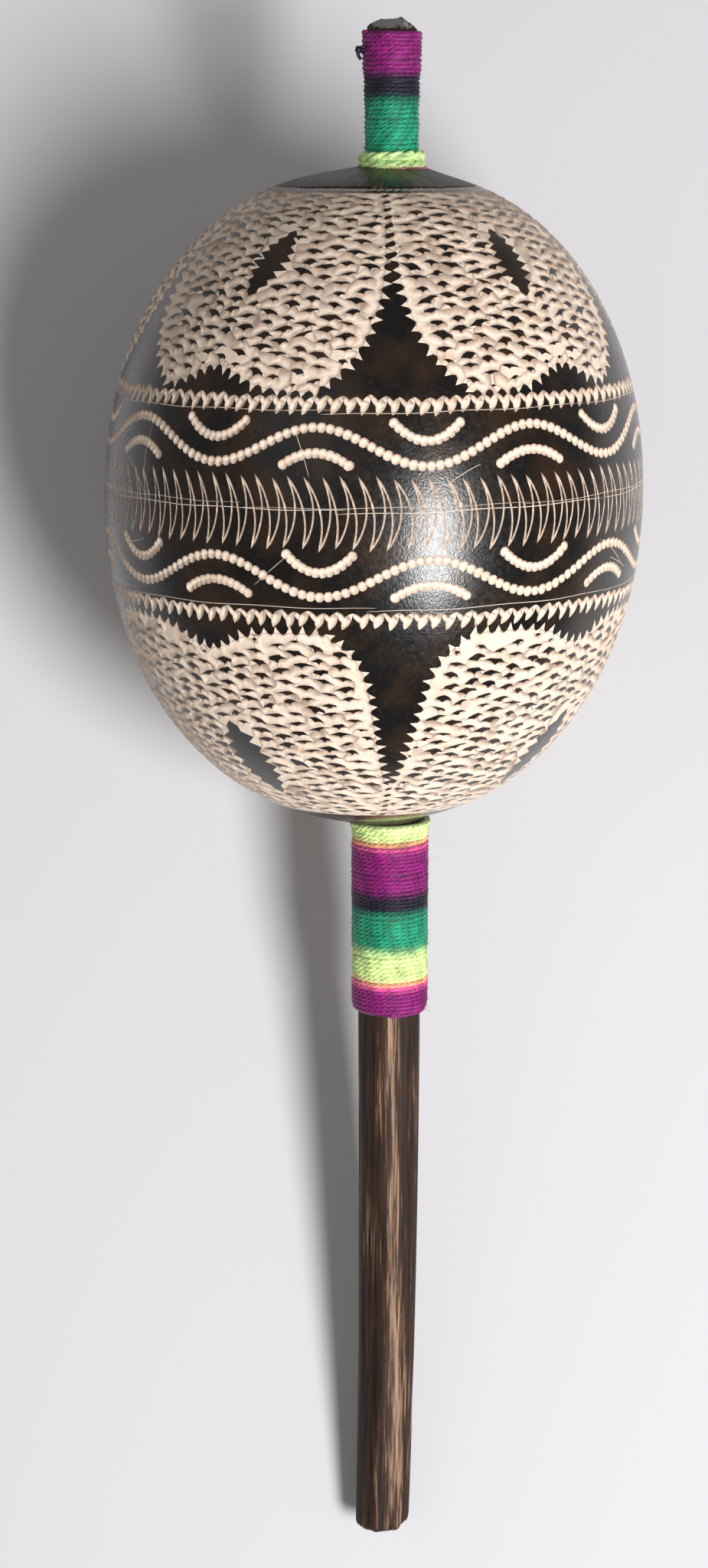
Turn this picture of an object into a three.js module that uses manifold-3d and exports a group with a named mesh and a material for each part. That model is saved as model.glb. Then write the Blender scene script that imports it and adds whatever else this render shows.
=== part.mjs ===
// A maraca: a dried gourd with seeds shut inside it, on a stick that runs right through it.
// Thread is wound round the stick above and below the gourd, and resin seals both holes.
// Millimetres. +Z runs along the stick, from the butt of the handle at the origin to the tip.
import * as THREE from "three";
import { mergeVertices } from "three/addons/utils/BufferGeometryUtils.js";
import Module from "manifold-3d";

// Driving dimensions

const stubLength = 30.1; // how far the stick stands out above the gourd
const buttRadius = 6.35; // at the free end of the handle
const swellRadius = 7.05; // where the handle is thickest, just under the lower binding
const swellHeight = 127;
const neckRadius = 4.85; // where the stick comes out of the top of the gourd
const tipRadius = 5.25;
const endChamfer = 1.4; // worn edge round both ends of the stick
const stickBend = 1.5; // how far the butt lies to one side of the straight part
const bendHeight = 110; // the stick is straight above this

const gourdDiameter = 119;
const gourdHeight = 145.2;
const gourdBase = 174.7; // height of its lowest point
const gourdOffset = 3.9; // how far the gourd grew to one side of the stick
const gourdFullness = 2.1; // 2 is an ellipsoid, and more is squarer
const wall = 3;
const holeMargin = 2.4; // how much wider each hole is than the stick in it

const lowerBindingLength = 45.3;
const lowerBindingThickness = 1.7; // two layers of thread
const upperBindingTop = 2.7; // bare stick left above the upper binding
const upperBindingThickness = 0.9; // one layer of thread, pressed down
const collarHeight = 4; // doubled turns against the gourd
const collarThickness = 2.15;
const topTurnsHeight = 8.6; // doubled turns near the tip
const topTurnsThickness = 1.25;
const threadDiameter = 1;

const seedDiameter = 6;
const seedsPerRing = [9, 12, 15];
const seedSpace = 0.7; // between two rings of seeds

const gap = 0.3; // between faces that touch
const seedClearance = 0.5; // between a seed and the wall or the stick

const stickSides = 32;
const gourdSides = 48;
const gourdRows = 18; // from pole to pole

// Worked out from them

const gourdCentre = gourdBase + gourdHeight / 2;
const gourdTop = gourdBase + gourdHeight;
const stickLength = gourdTop + stubLength;
const neckHeight = gourdTop;
const seedRadius = seedDiameter / 2;

// Materials

function material(color, roughness, metalness = 0) {
  return new THREE.MeshStandardMaterial({ color, roughness, metalness });
}

const skin = material("#1f1915", 0.38);
const stickWood = material("#3a281c", 0.7);
const boundThread = material("#7e1a78", 0.9);
const resin = material("#15110e", 0.35);
const seedCoat = material("#211812", 0.4);

// Shapes

// The stick's radius at a height: it swells below the gourd, narrows to a neck and widens at the tip.
function stickRadius(z) {
  const stations = [
    [0, buttRadius],
    [swellHeight, swellRadius],
    [neckHeight, neckRadius],
    [stickLength, tipRadius],
  ];
  const last = stations.findIndex(([height]) => height >= z);
  if (last <= 0) return buttRadius;
  const [lowZ, lowRadius] = stations[last - 1];
  const [highZ, highRadius] = stations[last];
  return THREE.MathUtils.lerp(lowRadius, highRadius, (z - lowZ) / (highZ - lowZ));
}

// Half the height of a gourd-shaped body at a distance from its axis.
function halfHeight(distance, radius, height) {
  const share = Math.min(distance / radius, 1);
  return (height / 2) * (1 - share ** gourdFullness) ** (1 / gourdFullness);
}

// A profile of [radius, height] pairs turned round the stick's axis.
function turned(profile, sides) {
  const points = profile.map(([radius, z]) => new THREE.Vector2(radius, z));
  const geometry = new THREE.LatheGeometry(points, sides);
  return geometry.rotateX(Math.PI / 2);
}

// Heights from one to another, evenly spaced.
function heights(from, to, steps) {
  return Array.from({ length: steps + 1 }, (_, i) => THREE.MathUtils.lerp(from, to, i / steps));
}

// A gourd-shaped solid, turned round its own axis.
function gourdBody(radius, height) {
  const quarter = Math.PI / gourdRows;
  const profile = heights(0, gourdRows, gourdRows).map((row) => {
    const across = Math.max(Math.sin(row * quarter), 0) ** (2 / gourdFullness);
    const along = -Math.cos(row * quarter);
    const z = Math.sign(along) * Math.abs(along) ** (2 / gourdFullness);
    return [row % gourdRows === 0 ? 0 : radius * across, (height / 2) * z];
  });
  return turned(profile, gourdSides).translate(-gourdOffset, 0, gourdCentre);
}

// A sleeve round the stick: the bore follows the stick, and outer is a list of [radius, height].
function sleeve(outer) {
  const bottom = outer[0][1];
  const top = outer.at(-1)[1];
  const bore = heights(top, bottom, 6).map((z) => [stickRadius(z) + gap, z]);
  return turned([...outer, ...bore, outer[0]], stickSides);
}

const wasm = await Module();
wasm.setup();

function toSolid(geometry) {
  const bare = geometry.clone();
  bare.deleteAttribute("normal");
  bare.deleteAttribute("uv");
  const merged = mergeVertices(bare, 1e-4);
  const vertProperties = new Float32Array(merged.attributes.position.array);
  const triVerts = new Uint32Array(merged.index.array);
  return new wasm.Manifold(new wasm.Mesh({ numProp: 3, vertProperties, triVerts }));
}

function toGeometry(solid) {
  const { vertProperties, triVerts } = solid.getMesh();
  const geometry = new THREE.BufferGeometry();
  geometry.setAttribute("position", new THREE.BufferAttribute(vertProperties, 3));
  geometry.setIndex(new THREE.BufferAttribute(triVerts, 1));
  geometry.computeVertexNormals();
  return geometry;
}

// The stick, with its worn ends and the slight bend in its handle.
function stick() {
  const body = heights(endChamfer, stickLength - endChamfer, 18);
  const profile = [
    [0, 0],
    [buttRadius - endChamfer, 0],
    ...body.map((z) => [stickRadius(z), z]),
    [tipRadius - endChamfer, stickLength],
    [0, stickLength],
  ];
  const geometry = turned(profile, stickSides);
  const { position } = geometry.attributes;
  for (let i = 0; i < position.count; i++) {
    const below = Math.max(1 - position.getZ(i) / bendHeight, 0);
    position.setX(i, position.getX(i) - stickBend * below ** 2);
  }
  return geometry;
}

// The gourd's shell, with a hole for the stick at each end.
const topHoleRadius = neckRadius + holeMargin;
const bottomHoleRadius = stickRadius(gourdBase) + holeMargin;

function gourdShell() {
  const outside = toSolid(gourdBody(gourdDiameter / 2, gourdHeight));
  const inside = toSolid(gourdBody(gourdDiameter / 2 - wall, gourdHeight - 2 * wall));
  const drill = (radius, from, to) =>
    toSolid(turned([[0, from], [radius, from], [radius, to], [0, to]], stickSides));
  const top = drill(topHoleRadius, gourdCentre, gourdTop + wall);
  const bottom = drill(bottomHoleRadius, gourdBase - wall, gourdCentre);
  return toGeometry(outside.subtract(inside).subtract(top).subtract(bottom));
}

// The height of the gourd's outer surface on the rim of a hole, where the rim is nearest its middle
// height. The rim isn't level, because the gourd is off centre.
function rimHeight(holeRadius) {
  return halfHeight(holeRadius + gourdOffset, gourdDiameter / 2, gourdHeight);
}

// The resin ring that fills a hole, a little deeper than the wall.
function upperSeal() {
  const top = gourdCentre + rimHeight(topHoleRadius);
  const bottom = top - wall - gap;
  const outside = topHoleRadius - gap;
  return sleeve([[outside, bottom], [outside, top - gap]]);
}

function lowerSeal() {
  const bottom = gourdCentre - rimHeight(bottomHoleRadius);
  const outside = bottomHoleRadius - gap;
  return sleeve([[outside, bottom + gap], [outside, bottom + wall + gap]]);
}

// The lower binding: it spreads against the gourd, and its last turns run down to the bare stick.
function lowerBinding() {
  const top = gourdBase - gap;
  const bottom = top - lowerBindingLength;
  const radius = swellRadius + lowerBindingThickness;
  return sleeve([
    [stickRadius(bottom) + threadDiameter / 2, bottom],
    [radius - threadDiameter / 4, bottom + 2 * threadDiameter],
    [radius, bottom + 4 * threadDiameter],
    [radius, top - 6 * threadDiameter],
    [radius + threadDiameter / 3, top - 2 * threadDiameter],
    [radius + threadDiameter / 3, top],
  ]);
}

// The upper binding: a collar against the gourd, one layer above it, and doubled turns at the tip.
function upperBinding() {
  const bottom = gourdCentre + rimHeight(topHoleRadius);
  const collarTop = bottom + collarHeight;
  const top = stickLength - upperBindingTop;
  const doubled = top - topTurnsHeight;
  const single = (z) => [stickRadius(z) + upperBindingThickness, z];
  return sleeve([
    [neckRadius + collarThickness, bottom],
    [neckRadius + collarThickness, collarTop],
    single(collarTop + threadDiameter),
    single(doubled - threadDiameter),
    [tipRadius + topTurnsThickness, doubled],
    [tipRadius + topTurnsThickness, top],
  ]);
}

// Seeds

// The distance of a ring of seeds from the gourd's axis. The first clears the stick all round.
function ringRadius(ring) {
  const first = stickRadius(gourdBase) + gourdOffset + seedRadius + seedClearance;
  return first + ring * (seedDiameter + seedSpace);
}

// The height of a seed's centre where it lies on the inside of the wall.
function seedHeight(ring) {
  const inset = wall + seedRadius + seedClearance;
  return gourdCentre - halfHeight(ringRadius(ring), gourdDiameter / 2 - inset, gourdHeight - 2 * inset);
}

function seed(ring, index) {
  const angle = (2 * Math.PI * index) / seedsPerRing[ring];
  const mesh = new THREE.Mesh(new THREE.IcosahedronGeometry(seedRadius, 1), seedCoat);
  const distance = ringRadius(ring);
  mesh.position.set(distance * Math.cos(angle) - gourdOffset, distance * Math.sin(angle), seedHeight(ring));
  mesh.rotation.set(angle, 2 * angle, 0);
  return mesh;
}

// The assembly

const maraca = new THREE.Group();

function addPiece(name, geometry, finish) {
  const mesh = new THREE.Mesh(geometry, finish);
  mesh.name = name;
  maraca.add(mesh);
}

addPiece("gourd_shell", gourdShell(), skin);
addPiece("stick", stick(), stickWood);
addPiece("lower_binding", lowerBinding(), boundThread);
addPiece("upper_binding", upperBinding(), boundThread);
addPiece("lower_seal", lowerSeal(), resin);
addPiece("upper_seal", upperSeal(), resin);

const seeds = seedsPerRing.flatMap((count, ring) =>
  Array.from({ length: count }, (_, index) => seed(ring, index)),
);
seeds.forEach((mesh, index) => {
  mesh.name = `seed_${String(index + 1).padStart(2, "0")}`;
  maraca.add(mesh);
});

export default maraca;
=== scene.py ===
# A maraca: a carved gourd on a thread-bound stick, with seeds inside. Metres, +Z along the stick.
import math

import bpy
import numpy as np
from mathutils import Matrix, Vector
from mathutils.geometry import delaunay_2d_cdt


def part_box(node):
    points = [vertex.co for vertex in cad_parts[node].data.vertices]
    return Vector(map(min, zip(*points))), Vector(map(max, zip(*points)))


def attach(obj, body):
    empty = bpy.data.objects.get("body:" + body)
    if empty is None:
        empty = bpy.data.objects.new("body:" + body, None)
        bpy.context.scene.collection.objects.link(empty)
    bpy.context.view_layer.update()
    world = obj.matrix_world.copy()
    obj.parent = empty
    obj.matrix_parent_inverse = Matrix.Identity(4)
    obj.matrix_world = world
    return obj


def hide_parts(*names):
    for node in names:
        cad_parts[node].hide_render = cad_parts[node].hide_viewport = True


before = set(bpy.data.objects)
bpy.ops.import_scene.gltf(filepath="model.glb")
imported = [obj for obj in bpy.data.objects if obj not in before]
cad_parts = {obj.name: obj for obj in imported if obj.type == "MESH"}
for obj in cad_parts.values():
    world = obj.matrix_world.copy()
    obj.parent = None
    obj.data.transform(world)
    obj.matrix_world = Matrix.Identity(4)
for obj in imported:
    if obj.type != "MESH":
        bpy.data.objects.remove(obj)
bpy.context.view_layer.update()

# ---- The gourd ---------------------------------------------------------------------------------
# A calabash, dried hard, its skin blackened and burnished. The pattern is cut through the skin
# with a gouge that is rocked from side to side as it is pushed along, so that each stroke leaves
# a short scoop of cream flesh, and the strokes run on as zigzags, ropes and rows of teeth.

MM = 0.001
GOURD_FULLNESS = 2.1  # 2 is an ellipsoid, and more is squarer
GOURD_HEIGHT = 145.2 * MM
GOURD_WALL = 3 * MM
TOP_SUNK = 2.0 * MM
DEEPEST_CUT = 0.68 * MM
CUT_SLOPE = 0.9  # how steeply a scoop's sides go down from its edge

shell_low, shell_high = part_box("gourd_shell")
GOURD_RADIUS = (shell_high.x - shell_low.x) / 2
GOURD_CENTRE = (shell_low + shell_high) / 2

rng = np.random.default_rng(7)


def meridian(radius, height, fullness, steps=4000):
    """Tables of distance along the skin from the lower pole, distance from the axis, and height.
    The section is a superellipse: an angle's sine and cosine, to the power 2 / fullness."""
    t = np.linspace(0, np.pi, steps + 1)
    away = radius * np.maximum(np.sin(t), 0) ** (2 / fullness)
    up = -np.sign(np.cos(t)) * np.abs(np.cos(t)) ** (2 / fullness) * height / 2
    along = np.concatenate([[0], np.cumsum(np.hypot(np.diff(away), np.diff(up)))])
    return along, away, up


ALONG, AWAY, UP = meridian(GOURD_RADIUS, GOURD_HEIGHT, GOURD_FULLNESS)
SKIN_LENGTH = ALONG[-1]

# The sum of steps over radius, up from the lower pole: the logarithm of a parallel's circle in a
# flat plan of the skin that keeps every angle true.
steps = np.diff(ALONG) / np.maximum((AWAY[1:] + AWAY[:-1]) / 2, 0.01 * MM)
SPREAD = np.concatenate([[0], np.cumsum(steps)])
SPREAD -= np.interp(SKIN_LENGTH / 2, ALONG, SPREAD)


def on_gourd(places, depth=0.0, sunk=TOP_SUNK):
    """Points of the skin from (angle, distance along the skin), pushed in along the section's
    normal by depth. The fruit is a little lumpy: its radius varies by low waves of the angle. It
    is sunk round the stalk, by a bell curve of the distance from its axis."""
    angle, along = places[..., 0], places[..., 1]
    away, up = np.interp(along, ALONG, AWAY), np.interp(along, ALONG, UP)
    half = np.pi * along / SKIN_LENGTH
    lumps = 1 + np.sin(half) * (0.003 * np.sin(2 * angle + 0.8) + 0.002 * np.sin(3 * angle - half))
    outwards = np.sin(half) ** 0.95, -np.cos(half)
    away = away * lumps - depth * outwards[0]
    up = up - depth * outwards[1]
    up = up - np.where(half > np.pi / 2, sunk * np.exp(-((away / (23 * MM)) ** 2)), 0)
    lean = 0.6 * MM * np.cos(half)
    x = GOURD_CENTRE.x - lean + away * np.sin(angle)
    return np.stack([x, GOURD_CENTRE.y - away * np.cos(angle), GOURD_CENTRE.z + up], -1)


def unit(vectors):
    """Vectors divided by their length."""
    return vectors / np.maximum(np.linalg.norm(vectors, axis=-1, keepdims=True), 1e-15)


def skin_normals(places):
    """The cross product of two small steps on the skin, across and up."""
    step = 1e-4
    across = on_gourd(places + [step, 0]) - on_gourd(places - [step, 0])
    rise = on_gourd(places + [0, step * MM]) - on_gourd(places - [0, step * MM])
    return unit(np.cross(across, rise))


def plan_of(places):
    """A place's point in the flat plan: e to the power of its spread, turned by its angle."""
    size = np.exp(np.interp(places[..., 1], ALONG, SPREAD))
    return np.stack([size * np.sin(places[..., 0]), size * np.cos(places[..., 0])], -1)


def places_of(points):
    """The angle and distance along the skin of points in the flat plan."""
    angle = np.arctan2(points[:, 0], points[:, 1])
    along = np.interp(np.log(np.hypot(points[:, 0], points[:, 1])), SPREAD, ALONG)
    return np.stack([angle, along], -1)


def shifted(places, across, up):
    """Places moved across the skin and up it, in metres."""
    away = np.interp(places[..., 1], ALONG, AWAY)
    return np.stack([places[..., 0] + across / away, places[..., 1] + up], -1)


def gouge(start, end, width, bow=0.0, points=6, blunt=0.7, wedge=0.0):
    """Outlines of strokes from start to end, and points down their middles. A stroke is a lens: its
    half-width is a power of the sine of the way along, and its middle bows to the left of it. A
    wedge is extra width near both tips."""
    middle = (start + end) / 2
    away = np.interp(middle[:, 1], ALONG, AWAY)[:, None, None]
    run = (end - start)[:, None, :] * np.concatenate([away, np.ones_like(away)], -1)
    side = unit(np.stack([-run[..., 1], run[..., 0]], -1))
    t = np.linspace(0, 1, points)[None, :, None]
    spine = run * (t - 0.5) + side * np.reshape(bow, (-1, 1, 1)) * 4 * t * (1 - t)
    half = np.reshape(width, (-1, 1, 1)) / 2 * np.sin(np.pi * t) ** blunt
    half = half + wedge * np.exp(-(((np.minimum(t, 1 - t) - 0.12) / 0.06) ** 2))
    half[:, [0, -1]] = 0
    outline = np.concatenate([spine + side * half, (spine - side * half)[:, -2:0:-1]], 1)
    scale = np.concatenate([1 / away, np.ones_like(away)], -1)
    return middle[:, None] + outline * scale, (middle[:, None] + spine * scale)[:, 1:-1]


cuts, islands, floor_points = [], [], []
MIDDLE = 108.6 * MM  # the pattern's own middle, along the skin from the lower pole
TURN = 2 * np.pi


def round_turn(count):
    """Angles that share a turn out equally, from zero."""
    return np.arange(count) * TURN / count


def carve(outlines, floors):
    """Keeps strokes' outlines, and points on the floors between them."""
    cuts.append(outlines)
    floor_points.append(floors.reshape(-1, 2))


# The band at the middle: long bowed strokes in a zigzag, thickest where two of them meet.
BAND_STROKES = 103
BAND_REACH = 7.4 * MM
turn = round_turn(BAND_STROKES)
upper_tips = np.stack([turn, np.full(BAND_STROKES, MIDDLE + BAND_REACH)], -1)
upper_tips = shifted(upper_tips, *rng.normal(0, 0.22 * MM, (2, BAND_STROKES)))
lower_tips = np.stack([turn - 0.014, np.full(BAND_STROKES, MIDDLE - BAND_REACH)], -1)
lower_tips = shifted(lower_tips, *rng.normal(0, 0.25 * MM, (2, BAND_STROKES)))
next_tips = np.roll(lower_tips, -1, 0)
next_tips[-1, 0] += TURN
for tips, bow in ((lower_tips, 2.3 * MM), (next_tips, 2.0 * MM)):
    bows = rng.normal(bow, 0.15 * MM, BAND_STROKES)
    carve(*gouge(upper_tips, tips, 0.42 * MM, bows, 12, 0.35, 0.16 * MM))

# Two zigzag rings: each tooth is a broad stroke up and a narrower one down.
for height, pitch, tall in ((22.0 * MM, 2.95 * MM, 3.9 * MM), (-22.2 * MM, 3.05 * MM, 3.7 * MM)):
    count = round(TURN * np.interp(MIDDLE + height, ALONG, AWAY) / pitch)
    turn = round_turn(count)
    feet = np.stack([turn, np.full(count, MIDDLE + height - tall / 2)], -1)
    feet = shifted(feet, *rng.normal(0, 0.2 * MM, (2, count)))
    peaks = np.stack([turn + 0.62 * TURN / count, np.full(count, MIDDLE + height + tall / 2)], -1)
    peaks = shifted(peaks, *rng.normal(0, 0.2 * MM, (2, count)))
    next_feet = np.roll(feet, -1, 0)
    next_feet[-1, 0] += TURN
    joins = next_feet + 0.3 * (np.roll(peaks - feet, -1, 0))
    starts = peaks + 0.06 * (peaks - joins) * [1, 0]
    for start, end, width in ((feet, peaks, 1.75 * MM), (starts, joins, 1.15 * MM)):
        outline, spine = gouge(start, end, rng.normal(width, 0.08 * MM, count), 0.15 * MM, 7, 0.78)
        carve(outline, spine[:, 1:3])


def rope(angles, along, width=2.05 * MM, length=2.25 * MM, slant=0.5, pitch=1.85 * MM, blunt=0.42):
    """Short strokes laid side by side across a curve, each leaning a little. The curve is given by
    its angles and distances along the skin."""
    away = np.interp(along, ALONG, AWAY)
    run = np.hypot(np.diff(angles) * (away[1:] + away[:-1]) / 2, np.diff(along))
    walked = np.concatenate([[0], np.cumsum(run)])
    count = max(int(round(walked[-1] / pitch)), 2)
    at = (np.arange(count) + 0.5) * walked[-1] / count
    middle = np.stack([np.interp(at, walked, angles), np.interp(at, walked, along)], -1)
    slope = np.gradient(along, walked)
    lean = np.arcsin(np.clip(np.interp(at, walked, slope), -1, 1)) + np.pi / 2 - slant
    lean = lean + rng.normal(0, 0.07, count)
    half = rng.normal(length / 2, 0.05 * MM, count)
    start = shifted(middle, -half * np.cos(lean), -half * np.sin(lean))
    end = shifted(middle, half * np.cos(lean), half * np.sin(lean))
    outline, spine = gouge(start, end, width, 0.08 * MM, 8, blunt)
    carve(outline, spine[:, 1:-1])


# Two waves of eight crests, with a short arc above each trough and below each crest.
WAVES = 8
WAVE_SWING = 3.9 * MM
for height, first_crest in ((13.6 * MM, -0.21), (-13.3 * MM, 0.2)):
    angles = np.linspace(0, TURN, 1601)
    along = MIDDLE + height + WAVE_SWING * np.cos(WAVES * (angles - first_crest))
    rope(angles, along)
    for crest in first_crest + np.arange(WAVES) * TURN / WAVES:
        trough = crest + TURN / WAVES / 2
        span = np.linspace(-1, 1, 81)
        low, high = MIDDLE + height - 4.2 * MM, MIDDLE + height + 4.2 * MM
        reach = rng.normal(7.8 * MM, 0.3 * MM, 2) / GOURD_RADIUS
        rope(crest + reach[0] * span, low + 2.9 * MM * (1 - span**2), pitch=1.5 * MM)
        rope(trough + reach[1] * span, high + 1.2 * MM - 4.2 * MM * (1 - span**2), pitch=1.5 * MM)


def scribe(angles, along, width):
    """A hair-thin cut along a curve: its half-width is a power of the sine of the way along."""
    away = np.interp(along, ALONG, AWAY)
    across, up = np.gradient(angles) * away, np.gradient(along)
    size = np.hypot(across, up)
    half = width / 2 * np.sin(np.linspace(0, np.pi, len(angles))) ** 0.3
    line = np.stack([angles, along], -1)
    left = shifted(line, -half * up / size, half * across / size)
    right = shifted(line, half * up / size, -half * across / size)
    cuts.append(np.concatenate([left, right[-2:0:-1]])[None])


# Scribed lines that set out the bands: each goes round in six arcs that overlap a little.
for height, width in ((20.4, 0.12), (-19.9, 0.12), (0.3, 0.15), (1.1, 0.08)):
    for start in np.arange(6) * TURN / 6 + 10 * height:
        t = np.linspace(0, 1, 90)
        wander = 0.35 * MM * np.sin(3 * t + start) + 0.12 * MM * np.sin(17 * t + 2 * start)
        scribe(start + 1.09 * t, MIDDLE + height * MM + wander + 0.35 * MM * (t - 0.5), width * MM)
STRAY_SCRATCHES = 26
for _ in range(STRAY_SCRATCHES):
    start, height, lean = rng.uniform(0, TURN), rng.normal(0, 15 * MM), rng.normal(0, 1.3)
    long = rng.uniform(3, 14) * MM
    t = np.linspace(0, 1, 14)
    bend = rng.normal(0, 0.07) * long * np.sin(np.pi * t)
    angles = start + (long * t * np.cos(lean) + bend) / GOURD_RADIUS
    scribe(angles, MIDDLE + height + long * t * np.sin(lean) + bend, 0.11 * MM)


def toothed(path, pitch=2.75 * MM, height=1.95 * MM):
    """A closed path's own left side, cut into sharp teeth with hollow flanks, and the floors of the
    scoops inside it. Each tooth is four points: its tip, and three along the valley after it."""
    away = np.interp(path[:, 1], ALONG, AWAY)
    across, up = np.diff(path[:, 0]) * (away[1:] + away[:-1]) / 2, np.diff(path[:, 1])
    walked = np.concatenate([[0], np.cumsum(np.hypot(across, up))])
    count = int(walked[-1] / pitch)
    tooth = walked[-1] / count
    middles = (walked[1:] + walked[:-1]) / 2

    def beside(at, out):
        """Places at distances along the path, moved to its left."""
        base = np.stack([np.interp(at, walked, path[:, 0]), np.interp(at, walked, path[:, 1])], -1)
        left = unit(np.stack([-np.interp(at, middles, up), np.interp(at, middles, across)], -1))
        return shifted(base, out * left[..., 0], out * left[..., 1])

    at = (np.arange(count)[:, None] + np.array([0.15, 0.36, 0.62, 0.88])) * tooth
    out = np.array([0.95, 0.2, -0.05, 0.22]) * height * rng.uniform(0.75, 1.2, (count, 1))
    at[:, 0] += rng.normal(0, 0.07, count) * tooth
    floors = beside(at[:, ::2], np.array([-0.1, -0.55]) * height)
    return beside(at.ravel(), out.ravel()), floors.reshape(-1, 2)


def leaf(centre, half_length, half_width, tilt, teeth=8):
    """An uncut leaf, pointed at both ends: its half-width is a power of the sine of the way along,
    and sharp teeth of flesh stand into it from both sides."""
    t = np.linspace(0, 1, 2 * teeth + 1)[:, None]
    side = half_width * np.sin(np.pi * t) ** 0.8
    side[1:-1:2] *= rng.uniform(1.05, 1.3, (teeth, 1))
    side[2:-1:2] *= rng.uniform(0.52, 0.75, (teeth - 1, 1))
    right = np.concatenate([side, half_length * (1 - 2 * t)], 1)
    left = right[-2:0:-1] * [-1, 1]
    outline = np.concatenate([right, left])
    turned = outline @ np.array([[np.cos(tilt), np.sin(tilt)], [-np.sin(tilt), np.cos(tilt)]])
    return shifted(centre[None], turned[:, 0], turned[:, 1])


# What is left between three scoops: an arched back, drooping wings and a point below.
ISLAND_SHAPE = np.array([
    (-1.0, 0.1), (-0.55, 0.68), (-0.05, 0.95), (0.4, 0.78), (0.75, 0.25), (1.0, -0.45),
    (0.5, -0.2), (0.2, -0.5), (-0.02, -1.05), (-0.3, -0.45), (-0.62, -0.12),
])
COLUMN = 4.5 * MM
ROW = 2.65 * MM


def fill(centre, edge_of, end_of, cap_along, leaf_place, leaf_half, sign):
    """The cut inside of a petal: islands of skin between columns of strokes, in brick bond, and the
    floors of the scoops above each. None lies near the petal's edge or its leaf."""
    columns, rows = np.meshgrid(np.arange(-12, 13), np.arange(0, 40), indexing="ij")
    across = columns * COLUMN + rng.normal(0, 0.3 * MM, columns.shape)
    along = rows * ROW + (columns % 2) * ROW / 2 + rng.normal(0, 0.2 * MM, columns.shape)
    along = cap_along - sign * (along + 1.5 * MM)
    away = np.interp(along, ALONG, AWAY)
    side = edge_of(along) * away - np.abs(across)
    end = sign * (along - end_of(across / away))
    to_leaf = np.hypot(
        (across - (leaf_place[0] - centre) * away) / (leaf_half[1] + 1.1 * MM),
        (along - leaf_place[1]) / (leaf_half[0] + 0.8 * MM),
    )
    inside = (side > 0.3 * MM) & (end > 0.6 * MM) & (across / away < np.pi) & (away > 9 * MM)
    near = np.minimum(side, end)
    chosen = inside & (to_leaf > 1) & (rng.random(columns.shape) > 0.004)
    across, along, near = across[chosen], along[chosen], near[chosen]
    count = len(across)
    place = np.stack([centre + across / np.interp(along, ALONG, AWAY), along], -1)
    size = np.clip(near / (2.6 * MM), 0.35, 1) * rng.uniform(0.65, 1.15, count)
    half_width = (2.15 * MM * size)[:, None]
    half_height = (0.74 * MM * np.sqrt(size) * rng.uniform(0.6, 1.3, count))[:, None]
    shape = ISLAND_SHAPE[None] * rng.uniform(0.75, 1.25, (count, len(ISLAND_SHAPE), 2))
    tilt = rng.normal(0.02, 0.17, count)[:, None]
    x, y = shape[..., 0] * half_width, shape[..., 1] * half_height
    x, y = x * np.cos(tilt) - y * np.sin(tilt), x * np.sin(tilt) + y * np.cos(tilt)
    islands.append(shifted(place[:, None], x, y))
    floor = np.array([(-2.1, 0.75), (-1.15, 1.35), (0.0, 1.62), (1.15, 1.3), (2.1, 0.6)]) * MM
    floor = floor * np.clip(size, 0.6, 1)[:, None, None] + rng.normal(0, 0.07 * MM, (count, 5, 2))
    deep = shifted(place[:, None], floor[..., 0], floor[..., 1])[near > 1.9 * MM]
    floor_points.append(deep.reshape(-1, 2))


TOOTH_ROOM = 0.85 * MM
TOOTH_TURN = np.radians(0.35)


def petals(sign, gaps, humps, lobe, cap, half_gap, leaf_spots, leaf_half):
    """A ring of petals between the gaps. Each one is cut from the cap to two lobes beside a hump of
    skin, and its edge is toothed except along the cap."""
    for gap, next_gap, hump, spot in zip(gaps, np.roll(gaps, -1), humps, leaf_spots):
        half = (next_gap - gap) % TURN / 2
        centre = gap + half

        def edge_of(along):
            """Half of the petal's angle at a distance along the skin."""
            return half - half_gap(along) - TOOTH_ROOM / np.interp(along, ALONG, AWAY)

        def end_of(angle):
            """Where the petal ends, along the skin, at an angle from its middle."""
            return MIDDLE + sign * (lobe + hump_rise(angle - hump))

        along = np.linspace(cap, MIDDLE + sign * (lobe + 0.6 * MM), 240)
        right = np.stack([edge_of(along), along], -1)
        across = np.linspace(right[-1, 0], -right[-1, 0], 160)[1:-1]
        bottom = np.stack([across, end_of(across)], -1)
        path = np.concatenate([right, bottom, right[::-1] * [-1, 1]])
        if sign < 0:
            path = path[::-1]
        outline, floors = toothed(path + [centre, 0])
        floor_points.append(floors)
        rim = np.linspace(outline[-1, 0], outline[0, 0], 40)[1:-1]
        rim = np.stack([rim, cap + rng.normal(0, 0.12 * MM, len(rim))], -1)
        cuts.append(np.concatenate([outline, rim])[None])
        place = np.array([centre + spot[0], MIDDLE + sign * spot[1]])
        islands.append(leaf(place, *leaf_half, spot[2])[None])
        fill(centre, edge_of, end_of, cap, place, leaf_half, sign)


def hump_rise(angle):
    """How far the skin rises into a petal between its lobes: a bell curve of the angle."""
    return 4.8 * MM * np.exp(-((angle / 0.15) ** 2))


LOBE_EDGE = 25.4 * MM
UPPER_CAP, LOWER_CAP = 76.4 * MM, 83 * MM
upper_gaps = np.radians(4 + 72.0 * np.arange(5))
lower_gaps = np.radians(5.5 + 90.0 * np.arange(4))


def upper_gap(along):
    """Half of the angle between two upper petals: it falls off exponentially from the lobes."""
    return np.radians(16) * np.exp(-(along - MIDDLE - LOBE_EDGE) / (11 * MM))


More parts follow.
